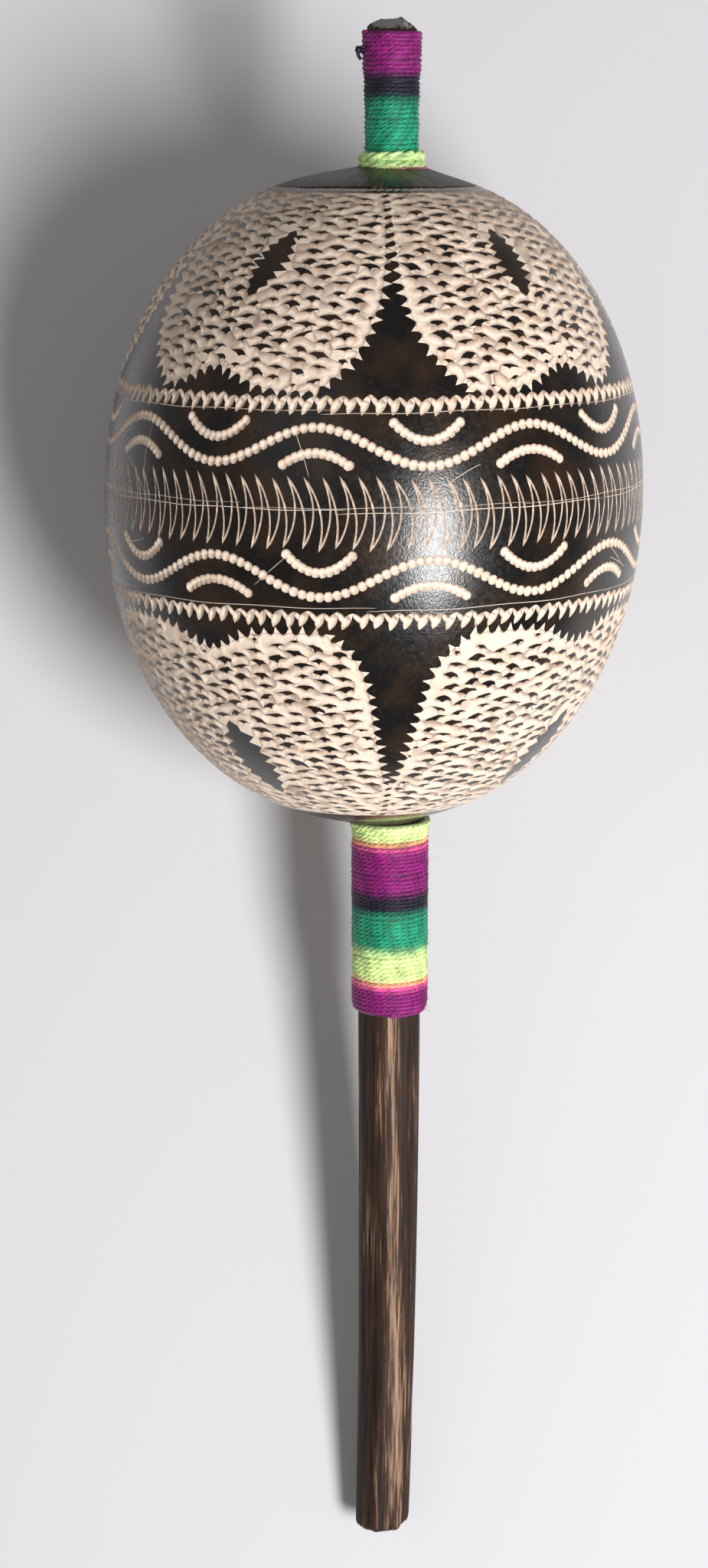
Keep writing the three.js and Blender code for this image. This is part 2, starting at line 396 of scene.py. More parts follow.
def lower_gap(along):
    """Half of the angle between two lower petals, which opens quickly at the lobes."""
    below = (MIDDLE - 26.6 * MM - along) / MM
    opening = np.maximum((along / MM - 42) / 26, 0) ** 0.6
    return np.radians(7 * np.exp(-np.maximum(below, 0) / 4) + 5.7 * opening - 0.3)


def leaf_places(height, *spots):
    """Where leaves lie in their petals: each one's angle from the petal's middle, in degrees, the
    leaves' height, and each one's tilt."""
    return [(np.radians(angle), height, tilt) for angle, tilt in spots]


# Five petals above, and four longer ones below.
petals(
    1, upper_gaps, np.radians([5.0, -3, 2, 4, -5]), 24.9 * MM, MIDDLE + UPPER_CAP,
    lambda along: upper_gap(along) - TOOTH_TURN,
    leaf_places(53.6 * MM, (1.0, 0.0), (2, 0.1), (-1, -0.1), (0, 0.1), (1, -0.25)),
    (9.0 * MM, 3.7 * MM),
)
petals(
    -1, lower_gaps, np.radians([-1.0, 2, -3, 2]), 25.6 * MM, MIDDLE - LOWER_CAP, lower_gap,
    leaf_places(60.2 * MM, (7.0, -0.1), (1, 0.1), (-2, -0.1), (3, 0.12)),
    (12.0 * MM, 5.0 * MM),
)

# A fine cord of strokes along the edge of the bare cap.
around_cap = np.linspace(0, TURN, 400)
cord = np.full(400, MIDDLE + 78.0 * MM)
rope(around_cap, cord, 0.75 * MM, 1.9 * MM, slant=1.22, pitch=1.72 * MM, blunt=0.6)

# The two holes, round the stick's own axis, as rings of places on the gourd.
RIM_POINTS = 48
LOWER_HOLE, UPPER_HOLE = 9.0 * MM, 7.2 * MM


def rim_places(radius, top, count=RIM_POINTS):
    """Places of the skin straight above or below a circle round the stick's axis."""
    turn = round_turn(count)
    x, y = radius * np.sin(turn) - GOURD_CENTRE.x, -radius * np.cos(turn)
    half = len(ALONG) // 2
    along = np.interp(np.hypot(x, y), AWAY[:half], ALONG[:half])
    return np.stack([np.arctan2(x, -y), SKIN_LENGTH - along if top else along], -1)


lower_rim = rim_places(LOWER_HOLE, False)
upper_rim = rim_places(UPPER_HOLE, True)

# Points between the cuts, so that the bare skin stays round.
GRID = 3.0 * MM
rows = np.arange(lower_rim[:, 1].max() + GRID / 2, upper_rim[:, 1].min() - GRID / 2, GRID * 0.87)
grid = []
for number, along in enumerate(rows):
    count = max(round(TURN * np.interp(along, ALONG, AWAY) / GRID), 16)
    turn = (np.arange(count) + number % 2 / 2) * TURN / count - np.pi
    grid.append(np.stack([turn, np.full(count, along)], -1))
grid = np.concatenate(grid)


def in_petals(places):
    """Whether places lie in the rings of petals, where the scoops' own floors take over."""
    angle, along = places[:, 0], places[:, 1]
    inside = np.zeros(len(places), bool)
    for gaps, half_gap, low, high in (
        (upper_gaps, upper_gap, MIDDLE + 24 * MM, MIDDLE + 77 * MM),
        (lower_gaps, lower_gap, MIDDLE - LOWER_CAP, MIDDLE - 25 * MM),
    ):
        to_gap = np.abs((angle[:, None] - gaps + np.pi) % TURN - np.pi).min(1)
        inside |= (to_gap > half_gap(along)) & (along > low) & (along < high)
    return inside


floor_points.append(grid[~in_petals(grid)])


def facing_up(batch):
    """Outlines that all run anticlockwise in plan: those of negative signed area are reversed."""
    plan = plan_of(batch)
    after = np.roll(plan, -1, 1)
    area = (plan[..., 0] * after[..., 1] - plan[..., 1] * after[..., 0]).sum(1)
    return np.where((area < 0)[:, None, None], batch[:, ::-1], batch)


# One flat triangulation of the whole pattern, in plan, then laid on the gourd.
outlines = [facing_up(batch) for batch in [upper_rim[None], lower_rim[None], *cuts, *islands]]
corners = np.concatenate([batch.reshape(-1, 2) for batch in outlines] + floor_points)
faces, first = [], 0
for batch in outlines:
    count, size = batch.shape[:2]
    faces += (first + np.arange(count * size).reshape(count, size)).tolist()
    first += count * size
UPPER_RIM, LOWER_RIM, FIRST_CUT = 0, 1, 2  # the outlines' numbers
first_island = FIRST_CUT + sum(len(batch) for batch in cuts)
flat = delaunay_2d_cdt(plan_of(corners).tolist(), [], faces, 0, 1e-7, True)
points = np.array([*map(tuple, flat[0])])
places = places_of(points)
triangles = np.array(flat[2])
label = np.array([max(ids, default=-1) for ids in flat[5]])
in_hole = np.array([LOWER_RIM in ids for ids in flat[5]])
kept = (label >= UPPER_RIM) & ~in_hole
triangles, label = triangles[kept], label[kept]
is_flesh = (label >= FIRST_CUT) & (label < first_island)


def edge_distances(points, triangles, is_flesh):
    """How far each point of the flesh lies from the skin: zero on it, and elsewhere the least, over
    its edges, of the other end's distance plus the edge's length, in a few rounds."""
    on_skin = np.zeros(len(points), bool)
    on_skin[triangles[~is_flesh]] = True
    distance = np.where(on_skin, 0, 1.0)
    edges = triangles[is_flesh][:, [0, 1, 1, 2, 2, 0]].reshape(-1, 2)
    edges = np.concatenate([edges, edges[:, ::-1]])
    length = np.linalg.norm(points[edges[:, 0]] - points[edges[:, 1]], axis=1)
    for _ in range(5):
        np.minimum.at(distance, edges[:, 0], distance[edges[:, 1]] + length)
    return distance


distance = edge_distances(on_gourd(places), triangles, is_flesh)
depth = DEEPEST_CUT * (1 - np.exp(-CUT_SLOPE * distance / DEEPEST_CUT))
depth *= rng.uniform(0.75, 1.15, len(depth))
outside = on_gourd(places, depth)

# The inner wall runs from rim to rim, one wall's thickness in. It isn't sunk at the top, where the
# wall is thinner, so the seeds have room to leap.
INNER_ROWS = 40


def nearest(rim):
    """The numbers of the points in plan that are nearest to a rim's own points."""
    return np.array([((points - point) ** 2).sum(1).argmin() for point in plan_of(rim)])


lower_ring, upper_ring = nearest(lower_rim), nearest(upper_rim)
rims = [np.stack([np.unwrap(rim[:, 0]), rim[:, 1]], -1) for rim in (lower_rim, upper_rim)]
way = np.linspace(0, 1, INNER_ROWS + 1)[:, None, None]
inner_places = ((1 - way) * rims[0] + way * rims[1]).reshape(-1, 2)
inside = on_gourd(inner_places, GOURD_WALL, 0)


def strips(lower, upper):
    """Triangles between two closed rings of numbered points, facing into the cavity."""
    after_lower, after_upper = np.roll(lower, -1, -1), np.roll(upper, -1, -1)
    first = np.stack([lower, upper, after_upper], -1)
    second = np.stack([lower, after_upper, after_lower], -1)
    return np.concatenate([first.reshape(-1, 3), second.reshape(-1, 3)])


rings = len(outside) + np.arange(len(inside)).reshape(INNER_ROWS + 1, RIM_POINTS)
inner = np.concatenate([
    strips(rings[:-1], rings[1:]), strips(lower_ring, rings[0]), strips(rings[-1], upper_ring),
])
cut_faces = np.concatenate([is_flesh, np.ones(len(inner), bool)])
corners_of = np.concatenate([triangles, inner])
everything = np.concatenate([outside, inside])


def mesh_object(name, points, faces):
    """A mesh object at the origin, from arrays of points and of faces with equal corners."""
    mesh = bpy.data.meshes.new(name)
    mesh.from_pydata(points, [], faces)
    mesh.polygons.foreach_set("use_smooth", np.ones(len(faces), bool))
    piece = bpy.data.objects.new(name, mesh)
    bpy.context.collection.objects.link(piece)
    return piece


gourd = mesh_object("carved_gourd", everything, corners_of)
mesh = gourd.data
mesh.polygons.foreach_set("material_index", cut_faces.astype(int))

# Bare skin is shaded as the round gourd, and flesh as the facets that the gouge leaves.
a, b, c = (everything[corners_of[:, i]] for i in range(3))
face_normals = np.cross(b - a, c - a)
FACETED = 0.45  # how far the flesh is shaded by its flat faces
shaped = np.zeros_like(everything)
np.add.at(shaped, corners_of[cut_faces].ravel(), np.repeat(face_normals[cut_faces], 3, 0))
round_normals = np.concatenate([skin_normals(places), np.zeros_like(inside)])
carved = (1 - FACETED) * unit(shaped)[corners_of] + FACETED * unit(face_normals)[:, None]
normals = np.where(cut_faces[:, None, None], carved, round_normals[corners_of])
mesh.normals_split_custom_set(unit(normals).reshape(-1, 3))

# How far each corner is from the skin's edge, and how far in the brown edge and its painted shade
# reach. A face with no corner in its scoop counts as clear.
BRUISE_AND_SHADE_REACH, CLEAR = 0.55 * MM, 1 * MM
from_edge = np.concatenate([distance, np.full(len(inside), CLEAR)])[corners_of]
from_edge[from_edge.max(1) == 0] = CLEAR
# A scoop starts shallow under one stroke and ends in a clean lip over the next. Every cut edge is a
# little brown, the real brown layer below the skin, and the faces with the skin above them are
# brown
# in full: painted shade under each island, in place of the scoop's relief.
all_places = np.concatenate([places, inner_places])[corners_of]
heights = all_places[..., 1]
at_skin = from_edge == 0
skin_height = (heights * at_skin).sum(1) / np.maximum(at_skin.sum(1), 1)
deep_height = (heights * ~at_skin).sum(1) / np.maximum((~at_skin).sum(1), 1)
below = np.clip((skin_height - deep_height) / (0.3 * MM), 0, 1)
from_edge = np.where(at_skin, (1 - below[:, None]) * 0.6 * BRUISE_AND_SHADE_REACH, from_edge)
layer = mesh.attributes.new("from_edge", "FLOAT", "CORNER")
layer.data.foreach_set("value", from_edge.ravel())

# A map of the skin, unrolled: once round is the map's width, and the inner wall lies above it.
turn = (all_places[..., 0] + np.pi) % TURN
crosses = turn.max(1) - turn.min(1) > np.pi
turn = np.where(crosses[:, None] & (turn < np.pi), turn + TURN, turn)
is_inner = (np.arange(len(corners_of)) >= len(triangles))[:, None]
across = turn / (TURN * 1.12) + 0.01
share, start = np.where(is_inner, 0.38, 0.56), np.where(is_inner, 0.6, 0.01)
up = heights / SKIN_LENGTH * share + start
bake_map = mesh.uv_layers.new(name="OFBake")
bake_map.data.foreach_set("uv", np.stack([across, up], -1).ravel())


def linear(colour):
    """An sRGB hex colour as linear RGBA: below 0.04045 a division, and above it a power of 2.4."""
    levels = np.array([int(colour[i : i + 2], 16) / 255 for i in (1, 3, 5)])
    levels = np.where(levels <= 0.04045, levels / 12.92, ((levels + 0.055) / 1.055) ** 2.4)
    return (*levels.tolist(), 1.0)


def wire(node, inputs):
    """Sets a node's sockets, each by a value, a hex colour or a link from another node's output."""
    for socket, value in inputs.items():
        if isinstance(value, bpy.types.NodeSocket):
            node.id_data.links.new(value, node.inputs[socket])
        else:
            node.inputs[socket].default_value = linear(value) if isinstance(value, str) else value


def add(tree, kind, inputs, output=0, **settings):
    """Adds a shader node with its settings, wires its sockets, and gives one of its outputs."""
    node = tree.nodes.new("ShaderNode" + kind)
    for name, value in settings.items():
        setattr(node, name, value)
    wire(node, inputs)
    return node.outputs[output]


def new_material(name, **values):
    """A material of one Principled shader, with values on its sockets, its tree and its shader."""
    material = bpy.data.materials.new(name)
    material.use_nodes = True
    tree = material.node_tree
    shader = tree.nodes["Principled BSDF"]
    wire(shader, {socket.replace("_", " "): value for socket, value in values.items()})
    return material, tree, shader


# Burnished skin: near black, with brown showing through in blotches, a satin shine broken by fine
# pores, and hairline scratches.
skin, tree, shader = new_material("burnished_gourd_skin", Specular_IOR_Level=0.42, Coat_Weight=0.34,
                                  Coat_Roughness=0.12)
place = add(tree, "TexCoord", {}, "Object")
blotches = add(tree, "TexNoise", {"Vector": place, "Scale": 1 / (9 * MM), "Detail": 4})
specks = add(tree, "TexNoise", {"Vector": place, "Scale": 1 / (1.1 * MM), "Detail": 5})
grain = add(tree, "TexNoise", {"Vector": place, "Scale": 1 / (0.45 * MM), "Detail": 3})
warm = add(tree, "MapRange", {"Value": blotches, "From Min": 0.42, "From Max": 0.66})
brown = add(tree, "Mix", {0: warm, 6: "#080504", 7: "#2d1c0c"}, 2, data_type="RGBA")
dusty = add(tree, "MapRange", {"Value": specks, "From Min": 0.58, "From Max": 0.8, "To Max": 0.5})
tone = add(tree, "Mix", {0: dusty, 6: brown, 7: "#3d2e1e"}, 2, data_type="RGBA")
shine = add(tree, "MapRange", {"Value": specks, "From Min": 0.3, "From Max": 0.7, "To Min": 0.2,
                               "To Max": 0.36})
rough = add(tree, "Bump", {"Height": grain, "Strength": 0.36, "Distance": 0.13 * MM})
pores = add(tree, "Bump", {"Height": specks, "Normal": rough, "Strength": 0.3,
                           "Distance": 0.1 * MM})
wire(shader, {"Base Color": tone, "Roughness": shine, "Normal": pores, "Coat Normal": pores})

# Cut flesh: dry, matt and cream, with short fibres. It is browner at the skin's edge: partly the
# real brown layer under the skin, and partly painted shade under the islands.
flesh, tree, shader = new_material("cut_gourd_flesh", Roughness=0.85)
place = add(tree, "TexCoord", {}, "Object")
fibre = add(tree, "TexNoise", {"Vector": place, "Scale": 1 / (0.5 * MM), "Detail": 4})
stain = add(tree, "TexNoise", {"Vector": place, "Scale": 1 / (5 * MM), "Detail": 3})
edge = add(tree, "Attribute", {}, "Fac", attribute_name="from_edge")
pale = add(tree, "Mix", {0: fibre, 6: "#f2d2b6", 7: "#fff4e6"}, 2, data_type="RGBA")
stained = add(tree, "MapRange", {"Value": stain, "From Min": 0.55, "From Max": 0.8, "To Max": 0.45})
toned = add(tree, "Mix", {0: stained, 6: pale, 7: "#cea27c"}, 2, data_type="RGBA")
# Partly painted shade: the brown at the cut's edge, strongest under each island.
bruise_and_shade = add(tree, "MapRange", {"Value": edge, "From Max": BRUISE_AND_SHADE_REACH, "To Min": 0.7, "To Max": 0.0})
edged = add(tree, "Mix", {0: bruise_and_shade, 6: toned, 7: "#6f4426"}, 2, data_type="RGBA")
furrows = add(tree, "Bump", {"Height": fibre, "Strength": 0.5, "Distance": 0.12 * MM})
wire(shader, {"Base Color": edged, "Normal": furrows})

mesh.materials.append(skin)
mesh.materials.append(flesh)
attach(gourd, "root")
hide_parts("gourd_shell")


# ---- The stick ----------------------------------------------------------------------------------
# A slat of black palm, split off the trunk and scraped round: hard dark fibres with paler pith
# between them, left bare where the hand holds it, and sawn off roughly at both ends.

stick_low, stick_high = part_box("stick")
STICK_LENGTH = stick_high.z - stick_low.z
STATIONS = np.array([0, 127, 319.9, 350]) * MM
RADII = np.array([6.35, 7.05, 4.85, 5.25]) * MM
BEND, BEND_HEIGHT = 1.5 * MM, 110 * MM
STICK_SIDES, STICK_ROWS, CAP_ROWS = 120, 420, 9


def about_stick(radius, angle, height):
    """Points at a distance from the stick's axis, an angle round it from the front and a height."""
    x, y = radius * np.sin(angle), -radius * np.cos(angle)
    return np.stack(np.broadcast_arrays(x, y, height), -1)


def ridges(angle, height, waves, seed):
    """Long fibres: the mean of many cosines, each of a whole number of waves round the stick that
    wanders slowly with height."""
    draw = np.random.default_rng(seed)
    total = 0
    for count in waves:
        drift, phase = draw.normal(0, 55, 2), draw.uniform(0, TURN, 2)
        total = total + np.cos(count * angle + drift[0] * height + phase[0]) * (
            0.75 + 0.5 * np.cos(drift[1] * 0.8 * height + phase[1]))
    return total / math.sqrt(len(waves))


def between(rows):
    """Quads between rows of numbered points, each row closed round."""
    after = np.roll(rows, -1, 1)
    return np.stack([rows[:-1], after[:-1], after[1:], rows[1:]], -1).reshape(-1, 4)


def surface(name, points, material, closed_rows=False, flip=False):
    """A mesh object from a grid of points, rows by columns, closed round each row. The first and
    last rows join, or else each is filled in."""
    number = np.arange(points[..., 0].size).reshape(points.shape[:2])
    faces = between(np.concatenate([number, number[:1]]) if closed_rows else number)
    faces = (faces[:, ::-1] if flip else faces).tolist()
    if not closed_rows:
        faces += [number[0, ::-1].tolist(), number[-1].tolist()]
    piece = mesh_object(name, points.reshape(-1, 3), faces)
    piece.data.materials.append(material)
    return piece


WORN_END = 2.2 * MM
FACET_CORNER = -0.22


def facets(angle):
    """The stick isn't quite round: the scraper left five flats, so its radius follows a cosine of
    five waves."""
    return 1 + 0.018 * np.cos(5 * (angle - FACET_CORNER))


around = round_turn(STICK_SIDES)[None]
up = np.linspace(0, 1, STICK_ROWS)[:, None]
fibres = ridges(around, up * STICK_LENGTH, range(9, 46, 3), 3)
split = ridges(around, up * STICK_LENGTH, range(5, 17, 2), 4)
radius = np.interp(up * STICK_LENGTH, STATIONS, RADII)
worn = WORN_END * np.where(up > 0.5, 0.45, 1)
from_end = np.minimum(up, 1 - up) * STICK_LENGTH / worn
radius = radius - worn * 0.75 * (1 - np.sqrt(1 - np.clip(1 - from_end, 0, 1) ** 2))
warp = 0.012 * np.cos(2 * around + 3 * up) + 0.008 * np.cos(3 * around - 5 * up)
radius = radius * facets(around) * (1 + warp)
radius = radius - 0.34 * MM * np.clip(split - 0.9, 0, 1) + 0.1 * MM * np.clip(fibres, -1.5, 0.8)


def end_cap(level, share, seed, slant, dome, front=0.0):
    """Heights of an end over its disc: slants across and to the front, a dome that falls as the
    cube of the way out, fibres that broke at different lengths, and a chip at one side."""
    x, y = share[:, None] * np.sin(around), share[:, None] * np.cos(around)
    broken = np.round(ridges(2.4 * x, 300 * MM * y, (1, 2, 3), seed) * 2) / 2
    chipped = np.clip((x - 0.62) * 12, 0, 1)
    fallen = dome * (x**2 + y**2) ** 1.5 + 0.9 * MM * chipped
    return level * (0.22 * MM * broken + slant * x - front * y - fallen)


shrink = np.linspace(1, 0.02, CAP_ROWS)
bottom_level = end_cap(-1, shrink[::-1], 5, -0.3 * MM, 0.3 * MM) + 0.9 * MM
top_level = end_cap(1, shrink, 6, 0.25 * MM, 0.1 * MM, 1.1 * MM) - 0.95 * MM
rings_radius = np.concatenate([
    shrink[::-1][:-1, None] * radius[:1], radius, shrink[1:, None] * radius[-1:],
])
ENDS_ONLY = 40  # a power that keeps the ends' unevenness from the rest of the stick
uneven_ends = bottom_level[-1:] * (1 - up) ** ENDS_ONLY + top_level[:1] * up**ENDS_ONLY
height = np.concatenate([
    bottom_level[:-1], up * STICK_LENGTH + uneven_ends, STICK_LENGTH + top_level[1:],
])
sway = -BEND * np.maximum(1 - height / BEND_HEIGHT, 0) ** 2
stick_points = about_stick(rings_radius, around, height)
stick_points[..., 0] += sway

# Black palm: brown-black fibres with fine tan streaks, a dull polish from the hand on the ridges.
palm, tree, shader = new_material("scraped_black_palm", Specular_IOR_Level=0.3)
place = add(tree, "TexCoord", {}, "Object")
drawn = add(tree, "Mapping", {"Vector": place, "Scale": (1, 1, 0.035)})
bundles = add(tree, "TexNoise", {"Vector": drawn, "Scale": 1 / (2.2 * MM), "Detail": 3})
threads = add(tree, "TexNoise", {"Vector": drawn, "Scale": 1 / (0.6 * MM), "Detail": 5,
                                 "Roughness": 0.65})
wear = add(tree, "TexNoise", {"Vector": place, "Scale": 1 / (1.2 * MM), "Detail": 3})
pith = add(tree, "Attribute", {}, "Fac", attribute_name="pith")
sawn = add(tree, "Attribute", {}, "Fac", attribute_name="sawn_end")
together = add(tree, "Math", {0: bundles, 1: 0.4}, operation="MULTIPLY")
together = add(tree, "Math", {0: threads, 1: 0.6, 2: together}, operation="MULTIPLY_ADD")
richer = add(tree, "Math", {0: pith, 1: 0.048, 2: together}, operation="MULTIPLY_ADD")
tone = add(tree, "MapRange", {"Value": richer, "From Min": 0.4, "From Max": 0.56})
dark = add(tree, "Mix", {0: tone, 6: "#120a06", 7: "#452c1e"}, 2, data_type="RGBA")
streak = add(tree, "MapRange", {"Value": richer, "From Min": 0.548, "From Max": 0.65})
wood = add(tree, "Mix", {0: streak, 6: dark, 7: "#ab8b72"}, 2, data_type="RGBA")
grey = add(tree, "Mix", {0: wear, 6: "#6d6762", 7: "#e2deda"}, 2, data_type="RGBA")
faded = add(tree, "Math", {0: sawn, 1: 0.8}, operation="MULTIPLY")
ended = add(tree, "Mix", {0: faded, 6: wood, 7: grey}, 2, data_type="RGBA")
dull = add(tree, "MapRange", {"Value": threads, "To Min": 0.45, "To Max": 0.8})
grooves = add(tree, "Bump", {"Height": together, "Strength": 0.6, "Distance": 0.35 * MM})
wire(shader, {"Base Color": ended, "Roughness": dull, "Normal": grooves})

stick = surface("palm_stick", stick_points, palm)
# Pale pith shows most in one wandering seam up the front, and a little in others round the stick.
seam = 0.12 + 0.22 * np.sin(17 * height[:, :1] + 1) + 0.12 * np.sin(41 * height[:, :1])
off_seam = (around - seam + np.pi) % TURN - np.pi
pith_share = np.exp(-((off_seam / 0.34) ** 2)) + 0.35 * ridges(around, height, (2, 3, 5), 8)
cap_share = np.zeros_like(height)
cap_share[: CAP_ROWS - 1] = cap_share[1 - CAP_ROWS :] = 1
for name, share in (("pith", pith_share), ("sawn_end", cap_share)):
    layer = stick.data.attributes.new(name, "FLOAT", "POINT")
    layer.data.foreach_set("value", (share + 0 * height).ravel())
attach(stick, "root")
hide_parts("stick")


# ---- The bindings -------------------------------------------------------------------------------
# Three-ply cotton thread, space-dyed in bands, wound tight round the stick on both sides of the
# gourd. Thicker, softer yarn makes the collar at the gourd, with one rose thread laid on it, and a
# knot and a tail stand out at the tip.

THREAD = 1.0 * MM
WOOL = 2.0 * MM  # the collar's yarn
PITCH = 0.93  # how far a turn rises, in threads
PLY_SIDES = 6
# Factors on each ply's dye: painted highlight and shade along the twist.
PLY_PAINTED_LIGHT = 1.16, 1.0, 0.8
TWIST = 4.3 * MM  # one full twist of the plies
STEP = 0.7 * MM
LOOSE_FIBRES, FIBRE_POINTS = 640, 5  # as many fibres as this on 45 mm of winding
# The sleeve's dye is darkened to 0.45: painted shade in the gaps between the turns.
SLEEVE_SIDES, UNDER_PAINTED_SHADE = 48, 0.45
PURPLE, NAVY, GREEN, LIME = "#8f1474", "#17112a", "#1d9b74", "#e6ffab"
ROSE, ORANGE = "#e0589a", "#f9b184"


def tube(path, radii, normal):
    """Rings round a path: at each point a circle across the path, with one axis as near to the
    given normal as it can be."""
    run = unit(np.gradient(path, axis=0))
    side = unit(np.cross(run, normal))
    out = np.cross(side, run)
    turn = round_turn(PLY_SIDES)[None, :, None]
    ring = np.cos(turn) * out[:, None] + np.sin(turn) * side[:, None]
    return path[:, None] + np.reshape(radii, (-1, 1, 1)) * ring


def tube_faces(first, rows):
    """Faces of a tube whose points start at a number, with each end closed by two quads."""
    number = first + np.arange(rows * PLY_SIDES).reshape(rows, PLY_SIDES)
    start = np.take(number[0], [[0, 5, 4, 3], [0, 3, 2, 1]])
    end = np.take(number[-1], [[0, 1, 2, 3], [0, 3, 4, 5]])
    return np.concatenate([between(number), start, end])


def wound(low, high, centre_radius, seed, gaps):
    """The path of thread wound from low to high: its height rises evenly with the angle, with a
    little wander, and wider steps at the gaps. centre_radius gives its radius at a height."""
    draw = np.random.default_rng(seed)
    turns = (high - low) / (PITCH * THREAD)
    length = turns * TURN * float(np.mean(centre_radius(np.linspace(low, high, 50))))
    wound_turns = np.linspace(0, turns, int(length / STEP))
    rate = 1 + 0.05 * np.sin(wound_turns * 1.7 + seed) + 0.05 * np.sin(wound_turns * 0.61)
    for gap_at, wide in gaps:
        rate += wide * np.exp(-(((wound_turns / turns - gap_at) * turns) ** 2) * 6)
    height = low + np.concatenate([[0], np.cumsum(rate[1:])]) / rate[1:].sum() * (high - low)
    angle = wound_turns * TURN
    slack = draw.normal(0, 0.05 * THREAD, int(turns) + 2)
    wander = np.interp(wound_turns, np.arange(len(slack)), slack)
    radius = centre_radius(height) * (0.4 + 0.6 * facets(angle)) + wander
    height += THREAD * (0.07 * np.sin(angle + 0.5) + 0.05 * np.sin(2 * angle + wound_turns))
    return about_stick(radius, angle, height), angle


def yarn(path, angle_out, seed, size=THREAD):
    """Three plies round a path: each is a tube that circles the path once in every twist."""
    draw = np.random.default_rng(seed)
    walked = np.concatenate([[0], np.cumsum(np.linalg.norm(np.diff(path, axis=0), axis=1))])
    outwards = about_stick(1, angle_out, 0)
    side = np.cross(unit(np.gradient(path, axis=0)), outwards)
    plies = []
    for ply in round_turn(len(PLY_PAINTED_LIGHT)):
        turn = (ply - walked * TURN / TWIST * THREAD / size)[:, None]
        off = 0.27 * size * (np.cos(turn) * outwards + np.sin(turn) * side)
        thick = 0.3 * size * (1 + 0.06 * draw.standard_normal(len(path)))
        plies.append(tube(path + off, thick, outwards))
    return plies


def dyed(height, stations):
    """The dye at a height along the winding: linear colours, blended between stations."""
    levels = np.array([spot for spot, _ in stations])
    colours = np.array([linear(name) for _, name in stations])
    return np.stack([np.interp(height, levels, colours[:, i]) for i in range(4)], -1)


def bands(*runs):
    """Stations for bands of dye: (low, high, colour) from the bottom, in millimetres, each flat
    within and blended over the space to the next."""
    return [(level * MM, colour) for low, high, colour in runs for level in (low, high)]


def loose_fibre(path, angle, draw):
    """A fibre that stands out from a point of the thread, and curls as the square of the way."""
    start = draw.integers(2, len(path) - 2)
    out = about_stick(1, angle[start], draw.normal(0, 0.6))
    curl = draw.normal(0, 1.2, 3)
    t = np.linspace(0, 1, FIBRE_POINTS)[:, None]
    long = draw.uniform(0.25, 0.9) * MM
    hair = path[start] + out * (0.4 * MM + 0.8 * long * np.sin(2 * t)) + curl * long * t**2
    rings = tube(hair, 0.022 * MM * (1.2 - t[:, 0]), np.array([0.3, 0.2, 1.0]))
    return rings, np.full(rings.shape[:2], path[start, 2]), 1.0


def under_layers(low, high, centre_radius):
    """A sleeve of the layers below the thread, which closes the gaps between its turns: a profile
    of radii and heights, turned round the stick."""
    rows = np.linspace(low - 0.2 * THREAD, high + 0.2 * THREAD, 60)
    outer = centre_radius(rows) + 0.1 * THREAD
    inner = np.interp(rows, STATIONS, RADII) + 0.1 * MM
    turn = round_turn(SLEEVE_SIDES)
    across = np.concatenate([outer, inner[::-1]])[:, None] * (0.4 + 0.6 * facets(turn))
    return about_stick(across, turn, np.concatenate([rows, rows[::-1]])[:, None])


def binding(name, node, low, high, centre_radius, gaps, stations, seed, extras=()):
    """A winding of thread with its loose fibres, the layers below and any other lengths of yarn, as
    one piece, with the dye kept on its points. Each part has its points, heights and a factor on
    its
    dye: painted highlight and shade on the three plies, and painted shade on the sleeve."""
    path, angle = wound(low, high, centre_radius, seed, gaps)
    parts = [
        (rings, np.repeat(path[:, 2:], PLY_SIDES, 1), shade)
        for shade, rings in zip(PLY_PAINTED_LIGHT, yarn(path, angle, seed))
    ]
    draw = np.random.default_rng(seed + 50)
    count = int(LOOSE_FIBRES * (high - low) / (45 * MM))
    parts += [loose_fibre(path, angle, draw) for _ in range(count)]
    for extra_path, extra_angle, level, size in extras:
        for rings in yarn(extra_path, extra_angle, seed, size):
            parts.append((rings, np.broadcast_to(np.reshape(level, (-1, 1)), rings.shape[:2]), 1.0))
    sleeve = under_layers(low, high, centre_radius)
    first, faces = 0, []
    for rings, _, _ in parts:
        faces.append(tube_faces(first, len(rings)))
        first += rings[..., 0].size
    number = first + np.arange(sleeve[..., 0].size).reshape(-1, SLEEVE_SIDES)
    faces.append(between(np.concatenate([number, number[:1]])))
    # The sleeve's darker dye is painted shade between the turns.
    parts.append((sleeve, sleeve[..., 2], UNDER_PAINTED_SHADE))
    points = np.concatenate([rings.reshape(-1, 3) for rings, _, _ in parts])
    heights = np.concatenate([level.ravel() for _, level, _ in parts])
    painted_shading = np.concatenate([np.full(level.size, shade) for _, level, shade in parts])
    heights += 0.12 * MM * np.random.default_rng(seed + 9).standard_normal(len(heights))
    colours = dyed(heights, stations)
    # Painted highlight and shade: the plies' dye brightened or darkened, and the sleeve's darkened.
    colours[:, :3] *= painted_shading[:, None]
    piece = mesh_object(name, points, np.concatenate(faces))
    dye = piece.data.attributes.new("dye", "FLOAT_COLOR", "POINT")
    dye.data.foreach_set("color", colours.ravel())
    piece.data.materials.append(thread)
    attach(piece, "root")
    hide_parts(node)


